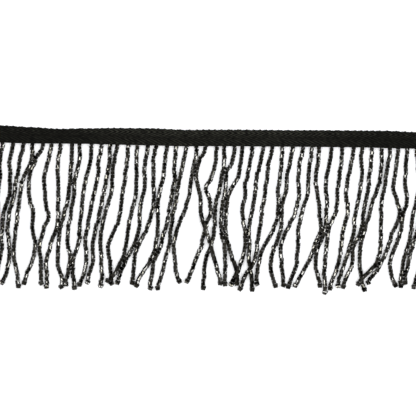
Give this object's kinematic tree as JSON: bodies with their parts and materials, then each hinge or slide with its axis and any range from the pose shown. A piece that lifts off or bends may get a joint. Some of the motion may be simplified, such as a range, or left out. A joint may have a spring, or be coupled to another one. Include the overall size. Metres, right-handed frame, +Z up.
{
  "type": "beaded fringe trim",
  "caption": "Cut length of beaded fringe trim: a narrow woven heading tape with a row of faceted bead strands sewn behind its lower edge, lying flat.",
  "frame": {"origin": "middle of the trim's bounding box, at the level of the surface that it lies on", "axes": "+X along the tape, -Y the way the bead strands hang from it, +Z up out of the face"},
  "size_m": [0.28, 0.099, 0.0039],
  "materials": {
    "tape": "matte woven polyester",
    "beads": "polished opaque black",
    "thread": "waxed polyester thread"
  },
  "bodies": {
    "root": {"tape": "tape", "fringe": "beads"}
  },
  "joints": []
}
